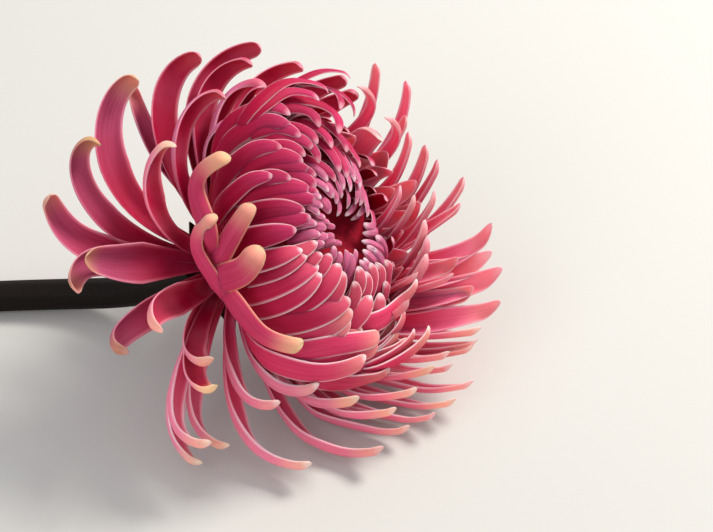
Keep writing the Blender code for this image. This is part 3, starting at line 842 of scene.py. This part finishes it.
def drawn_floret(row, form, draw):
    """A floret whose back lies on the dome and shows where the picture shows it."""
    marks = ((row.low_x, row.low_y), (row.half_x, row.half_y), (row.tip_x, row.tip_y))
    apart = min(math.hypot(row.tip_x - HOLLOW[0], row.tip_y - HOLLOW[1]) / RING_REACH, 1.0)
    sink = RING_SINK * (1.0 - apart)
    broad = min(row.width / BROAD_FLORET, 1.0)
    lifts = (LOW_LIFT - LOW_SINK * sink, MIDDLE_LIFT * broad - sink, TIP_LIFT * broad - sink)
    points = [on_dome(x, y, row.lift * MM + extra) for (x, y), extra in zip(marks, lifts)]
    aside = points[0] - HEAD_BASE
    aside -= FORWARD * (aside @ FORWARD)
    aside /= np.linalg.norm(aside)
    root = dome_seat(aside)
    launch = points[0] - root
    launch = launch / np.linalg.norm(launch) + LAUNCH_ASIDE * apart ** 2 * aside
    launch /= np.linalg.norm(launch)
    return dome_sheet([root] + points, launch, row.width, form, draw)


def hidden_floret(turn, height, form, draw):
    """A floret of the dome, from its turn round it and its tip's height."""
    around = math.cos(turn) * DOME_AXES[0] * DOME_HIGH + math.sin(turn) * DOME_AXES[1] * DOME_ACROSS
    points = []
    for below, lift in HIDDEN_POINTS:
        level = height - math.radians(below)
        place = around * math.cos(level) + FORWARD * DOME_DEEP * math.sin(level)
        points.append(DOME_MIDDLE + (1.0 + lift / DOME_ACROSS) * place)
    aside = around / np.linalg.norm(around)
    root = dome_seat(aside)
    launch = points[0] - root + aside * LAUNCH_ASIDE * DOME_DEEP
    launch /= np.linalg.norm(launch)
    return dome_sheet([root] + points, launch, draw.uniform(*HIDDEN_WIDTHS), form, draw)


def hidden_dome(form, draw):
    """Florets on the parts of the dome that the picture doesn't show."""
    sheets = []
    for first, last, highest in HIDDEN_SIDES:
        for i in range(HIDDEN_FLORETS):
            share = (i + 0.5) / HIDDEN_FLORETS
            turn = math.radians(first + (last - first) * ((i * GOLDEN_SHARE) % 1.0))
            height = math.radians(highest * share)
            sheets.append(hidden_floret(turn, height, form, draw))
    return sheets


def far_filling():
    """Broad florets behind the named ones of the far side."""
    draw = random.Random(FILLING_SEED)
    florets = []
    for i in range(FILLING_FLORETS):
        clock = FILLING_START + FILLING_SPAN * i / (FILLING_FLORETS - 1)
        clock += draw.uniform(-FILLING_STRAY, FILLING_STRAY)
        reach = FILLING_REACH + draw.uniform(-FILLING_STRAY, FILLING_STRAY)
        florets.append(Floret(
            clock=clock, reach=reach, rise=FILLING_RISE, root=clock, launch=78, fullness=0.7,
            arrival=30, heading=clock, width=8.5,
        ))
    return tuple(florets)


def drawn_florets(rows, form, draw):
    return [drawn_floret(row, form, draw) for row in rows]


def build_rim():
    floret_piece("reflexed_florets", REFLEXED, RIM_FORM, REFLEXED_LOOK, seed=1)
    floret_piece("upper_florets", UPPER, RIM_FORM, UPPER_LOOK, seed=2)
    floret_piece("near_florets", NEAR, RIM_FORM, NEAR_LOOK, seed=3)
    floret_piece("lower_florets", LOWER, FAN_FORM, LOWER_LOOK, seed=4)
    floret_piece("far_florets", FAR, FAR_FORM, FAR_LOOK, seed=5)
    floret_piece("finger_florets", FINGERS, FINGER_FORM, FINGER_LOOK, seed=8)
    floret_piece("back_florets", BACK + far_filling(), FAR_FORM, FAR_LOOK, seed=6)


def build_dome():
    draw = random.Random(DOME_SEED)
    upper = drawn_florets(UPPER_DOME + CREST, UPPER_DOME_FORM, draw)
    bloom_piece("upper_dome_florets", upper, UPPER_DOME_LOOK)
    middle = []
    lower = drawn_florets(SKIRT, LOWER_DOME_FORM, draw)
    for row in LOWER_DOME:
        group = middle if row.tip_y < MIDDLE_DOME_END else lower
        group.append(drawn_floret(row, LOWER_DOME_FORM, draw))
    bloom_piece("middle_dome_florets", middle, MIDDLE_DOME_LOOK)
    bloom_piece("lower_dome_florets", lower, LOWER_DOME_LOOK)
    bloom_piece("hidden_dome_florets", hidden_dome(UPPER_DOME_FORM, draw), UPPER_DOME_LOOK)
    bloom_piece("crown_florets", drawn_florets(CROWN, CROWN_FORM, draw), CROWN_LOOK)
    bloom_piece("standing_florets", drawn_florets(STANDING, STANDING_FORM, draw), STANDING_LOOK)


def turned_piece(name, profile, material, node):
    """A closed solid turned round the head's axis from (reach, rise) pairs, back to front."""
    turn = -360.0 * np.arange(ROUND_SIDES) / ROUND_SIDES
    rings = np.array([on_head(turn, reach, rise) for reach, rise in profile])
    solid_piece(name, rings, material, node)


def core_rings():
    """Rings round a smaller dome that is sunken in its middle like the florets' own."""
    turn = 2.0 * math.pi * np.arange(ROUND_SIDES) / ROUND_SIDES
    rings = []
    for i in range(CORE_STEPS + 1):
        height = math.radians(CORE_LOWEST + (CORE_HIGHEST - CORE_LOWEST) * i / CORE_STEPS)
        ring = np.stack([
            CORE_SHARE * DOME_HIGH * math.cos(height) * np.cos(turn),
            CORE_SHARE * DOME_ACROSS * math.cos(height) * np.sin(turn),
            np.full(ROUND_SIDES, CORE_SHARE * DOME_DEEP * math.sin(height)),
        ], axis=1)
        if height > 0.0:
            apart = np.hypot(ring[:, 0], ring[:, 1]) / CORE_HOLLOW_WIDTH
            ring[:, 2] -= CORE_HOLLOW * np.exp(-apart ** 2)
        rings.append(DOME_MIDDLE + ring @ DOME_AXES)
    return np.array(rings)


def build_receptacle():
    """The deep red solids that close the gaps between the florets."""
    skin = plain_material("receptacle", CORE_RED, roughness=0.8)
    turned_piece("receptacle", RECEPTACLE_PROFILE, skin, "ray_florets")
    solid_piece("core", core_rings(), skin, "ray_florets")


def solid_piece(name, rings, material, node):
    """A closed solid from rings of points, each as many as the last."""
    sides = rings.shape[1]
    faces = []
    for i in range(len(rings) - 1):
        for k in range(sides):
            after = (k + 1) % sides
            near = i * sides
            far = near + sides
            faces.append((near + k, near + after, far + after, far + k))
    faces.append(tuple(reversed(range(sides))))
    last = (len(rings) - 1) * sides
    faces.append(tuple(range(last, last + sides)))
    piece = new_object(name, rings.reshape(-1, 3).tolist(), faces, material)
    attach(piece, "root")
    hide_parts(node)


def build_cup():
    """The green-brown cup behind the florets, with its rings of bracts."""
    skin = plain_material("bracts", BRACT_BROWN, roughness=0.75)
    turned_piece("bract_cup", CUP_PROFILE, skin, "involucre")
    draw = random.Random(BRACT_SEED)
    sheets = []
    for ring, (count, reach, rise) in enumerate(BRACT_RINGS):
        for k in range(count):
            clock = 360.0 * (k + 0.5 * ring) / count
            bract = Floret(
                clock=clock, reach=reach, rise=rise, root=clock, launch=100, fullness=0.4,
                arrival=86, heading=clock, width=5.5, seat_radius=4.6, seat_rise=-7.0,
            )
            sheets.append(floret_sheet(bract, BRACT_FORM, draw))
    piece = sheet_object("bracts", sheets, skin)
    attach(piece, "root")
    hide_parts("involucre")


def build_stem():
    """One ribbed stalk from behind the cup, bending down to lie on the surface."""
    top = HEAD_BASE + FORWARD * (CUP_BACK - NODE_GAP)
    neck = top - FORWARD * STEM_NECK
    knee, turn, end = (
        np.array([along, neck[1] + aside, STEM_RADIUS])
        for along, aside in (STEM_KNEE, STEM_TURN, STEM_CUT)
    )
    t = np.linspace(0.0, 1.0, STEM_STATIONS)[:, None]
    s = 1.0 - t
    middle = (
        s ** 4 * top
        + 4 * s ** 3 * t * neck
        + 6 * s * s * t * t * knee
        + 4 * s * t ** 3 * turn
        + t ** 4 * end
    )
    run = unit_rows(np.gradient(middle, axis=0))
    run[0] = -FORWARD
    run[-1] = (-1.0, 0.0, 0.0)
    side = unit_rows(np.cross(run, np.array([0.0, 0.0, 1.0])))
    up = np.cross(side, run)
    radius = STEM_NECK_RADIUS + (STEM_RADIUS - STEM_NECK_RADIUS) * np.minimum(t / STEM_WIDENS, 1.0)
    angle = 2.0 * math.pi * np.arange(STEM_SIDES)[None, :] / STEM_SIDES
    ribs = 1.0 - STEM_RIB_DEPTH * (1.0 + np.cos(angle * STEM_RIBS + STEM_RIB_TURN * t))
    ring = radius * ribs
    points = (
        middle[:, None, :]
        + side[:, None, :] * (ring * np.cos(angle))[:, :, None]
        + up[:, None, :] * (ring * np.sin(angle))[:, :, None]
    )
    bark = plain_material("bark", BARK_BROWN, roughness=0.65)
    solid_piece("stalk", points, bark, "stem")


class Graph:
    """A material's nodes, with short calls for what the materials share."""

    def __init__(self, name):
        self.material = bpy.data.materials.new(name)
        self.material.use_nodes = True
        self.nodes = self.material.node_tree.nodes
        self.links = self.material.node_tree.links
        self.shader = self.nodes["Principled BSDF"]

    def link(self, source, target):
        if isinstance(source, (int, float, tuple)):
            target.default_value = source
        else:
            self.links.new(source, target)

    def shade(self, name, source):
        self.link(source, self.shader.inputs[name])

    def value(self, name):
        node = self.nodes.new("ShaderNodeAttribute")
        node.attribute_name = name
        return node.outputs["Fac"]

    def maths(self, operation, first, second=0.0):
        node = self.nodes.new("ShaderNodeMath")
        node.operation = operation
        self.link(first, node.inputs[0])
        self.link(second, node.inputs[1])
        return node.outputs[0]

    def ramp(self, source, low, high, out_low=0.0, out_high=1.0):
        node = self.nodes.new("ShaderNodeMapRange")
        node.interpolation_type = "SMOOTHSTEP"
        self.link(source, node.inputs["Value"])
        node.inputs["From Min"].default_value = low
        node.inputs["From Max"].default_value = high
        node.inputs["To Min"].default_value = out_low
        node.inputs["To Max"].default_value = out_high
        return node.outputs["Result"]

    def mix(self, factor, first, second, blend="MIX"):
        node = self.nodes.new("ShaderNodeMix")
        node.data_type = "RGBA"
        node.blend_type = blend
        self.link(factor, node.inputs[MIX_FACTOR])
        self.link(first, node.inputs[MIX_FIRST])
        self.link(second, node.inputs[MIX_SECOND])
        return node.outputs[MIX_RESULT]

    def vector(self, x, y, z):
        node = self.nodes.new("ShaderNodeCombineXYZ")
        for source, socket in zip((x, y, z), node.inputs):
            self.link(source, socket)
        return node.outputs[0]

    def noise(self, vector, scale, detail=2.0):
        node = self.nodes.new("ShaderNodeTexNoise")
        self.links.new(vector, node.inputs["Vector"])
        node.inputs["Scale"].default_value = scale
        node.inputs["Detail"].default_value = detail
        return node.outputs["Fac"]

    def place(self):
        return self.nodes.new("ShaderNodeTexCoord").outputs["Object"]

    def bump(self, height, strength, distance):
        node = self.nodes.new("ShaderNodeBump")
        node.inputs["Strength"].default_value = strength
        node.inputs["Distance"].default_value = distance
        self.links.new(height, node.inputs["Height"])
        self.links.new(node.outputs["Normal"], self.shader.inputs["Normal"])


def petal_material(name, look):
    """Velvety petal skin: deep at the root, streaked along its length, with pale margins that are partly
    painted highlight.
    """
    graph = Graph(name)
    along = graph.value("along")
    across = graph.value("across")
    inside = graph.value("inside")
    tone = graph.value("tone")
    back = graph.mix(graph.ramp(along, *MIDDLE_COMES), look.root, look.middle)
    back = graph.mix(graph.ramp(along, *TIP_COMES), back, look.tip)
    fold = graph.mix(graph.ramp(along, *INNER_TIP_COMES), look.inner_root, look.inner_tip)
    skin = graph.mix(inside, back, fold)
    streak_place = graph.vector(
        graph.maths("MULTIPLY", across, STREAKS_ACROSS),
        graph.maths("MULTIPLY", along, STREAKS_ALONG),
        graph.maths("MULTIPLY", tone, STREAKS_APART),
    )
    streaks = graph.noise(streak_place, STREAK_SCALE, STREAK_DETAIL)
    skin = graph.mix(graph.ramp(streaks, *NOISE_BAND, 0.0, STREAK_AMOUNT), skin, look.root)
    # the pale margins and end: the petals' own pale edge with painted highlight over it
    edge = graph.ramp(graph.maths("ABSOLUTE", across), *RIM_AND_HIGHLIGHT_ACROSS)
    edge = graph.maths("MULTIPLY", edge, graph.ramp(along, *RIM_AND_HIGHLIGHT_COMES, RIM_AND_HIGHLIGHT_AT_ROOT, 1.0))
    end = graph.ramp(along, *PALE_END_AND_HIGHLIGHT_COMES)
    rim = graph.maths("MULTIPLY", graph.maths("MAXIMUM", edge, end), look.rim_amount)
    skin = graph.mix(rim, skin, look.rim)
    warm = graph.maths("MULTIPLY", graph.ramp(along, *WARM_COMES), graph.value("warm"))
    skin = graph.mix(graph.maths("MULTIPLY", warm, look.warm_amount), skin, look.warm)
    cloud = graph.noise(graph.place(), CLOUD_SCALE)
    skin = graph.mix(graph.ramp(cloud, *NOISE_BAND, 0.0, CLOUD_AMOUNT), skin, look.middle)
    shade = graph.nodes.new("ShaderNodeHueSaturation")
    graph.link(skin, shade.inputs["Color"])
    graph.link(graph.ramp(tone, -1.0, 1.0, *BRIGHTNESS), shade.inputs["Value"])
    graph.shade("Base Color", shade.outputs["Color"])
    graph.shade("Roughness", graph.ramp(streaks, *ROUGH_BAND, *PETAL_ROUGHNESS))
    for socket, value in PETAL_SHADER.items():
        graph.shade(socket, value)
    graph.bump(streaks, STREAK_BUMP, STREAK_DEPTH)
    return graph.material


def plain_material(name, base, roughness):
    """A matt skin with a fine grain that darkens it in spots."""
    graph = Graph(name)
    grain = graph.noise(graph.place(), GRAIN_SCALE, GRAIN_DETAIL)
    dark = (*(GRAIN_DARK * part for part in base[:3]), 1.0)
    spots = graph.ramp(grain, *GRAIN_BAND, 0.0, GRAIN_AMOUNT)
    graph.shade("Base Color", graph.mix(spots, base, dark))
    graph.shade("Roughness", roughness)
    graph.shade("Specular IOR Level", PLAIN_SHINE)
    graph.bump(grain, GRAIN_BUMP, GRAIN_DEPTH)
    return graph.material


def build_stage():
    """A plain pale floor that runs far past the picture."""
    corners = ((-1, -1), (1, -1), (1, 1), (-1, 1))
    points = [(FLOOR_REACH * x, FLOOR_REACH * y, FLOOR_LEVEL) for x, y in corners]
    graph = Graph("floor")
    graph.shade("Base Color", FLOOR_COLOUR)
    graph.shade("Roughness", FLOOR_ROUGHNESS)
    floor = new_object("floor", points, [(0, 1, 2, 3)], graph.material)


def add_light(name, place, size, power, tint):
    """A round lamp that shines at the flower."""
    light = bpy.data.lights.new(name, "AREA")
    light.shape = "DISK"
    light.size = size
    light.energy = power
    light.color = tint
    lamp = bpy.data.objects.new(name, light)
    lamp.location = place
    direction = Vector(LIT_POINT) - lamp.location
    lamp.rotation_euler = direction.to_track_quat("-Z", "Y").to_euler()
    bpy.context.scene.collection.objects.link(lamp)


def build_light():
    """A warm key light, a cool fill light and a pale sky."""
    add_light("key", place=(0.55, 0.35, 0.75), size=0.35, power=10.0, tint=(1.0, 0.96, 0.9))
    add_light("fill", place=(-0.5, -0.8, 0.7), size=0.8, power=4.0, tint=(0.95, 0.97, 1.0))
    world = bpy.context.scene.world or bpy.data.worlds.new("world")
    bpy.context.scene.world = world
    world.use_nodes = True
    background = world.node_tree.nodes["Background"]
    background.inputs["Color"].default_value = SKY_COLOUR
    background.inputs["Strength"].default_value = SKY_STRENGTH
    bpy.context.scene.view_settings.view_transform = "Standard"


def build_camera():
    data = bpy.data.cameras.new("camera")
    data.sensor_width = SENSOR_WIDTH
    data.lens = SENSOR_WIDTH * PIXELS_PER_MM * CAMERA_DISTANCE / MM / PICTURE_WIDTH
    camera = bpy.data.objects.new("camera", data)
    turn = Matrix((CAMERA_RIGHT, CAMERA_UP, CAMERA_BACK)).transposed().to_4x4()
    camera.matrix_world = Matrix.Translation(Vector(CAMERA)) @ turn
    bpy.context.scene.collection.objects.link(camera)
    bpy.context.scene.camera = camera


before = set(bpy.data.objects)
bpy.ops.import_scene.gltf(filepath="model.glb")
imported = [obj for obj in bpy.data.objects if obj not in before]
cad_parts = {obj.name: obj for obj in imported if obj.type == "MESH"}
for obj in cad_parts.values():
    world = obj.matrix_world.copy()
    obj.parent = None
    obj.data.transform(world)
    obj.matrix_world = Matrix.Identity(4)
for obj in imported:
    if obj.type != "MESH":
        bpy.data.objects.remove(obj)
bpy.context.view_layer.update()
build_camera()
build_stem()
build_cup()
build_receptacle()
build_rim()
build_dome()
build_stage()
build_light()
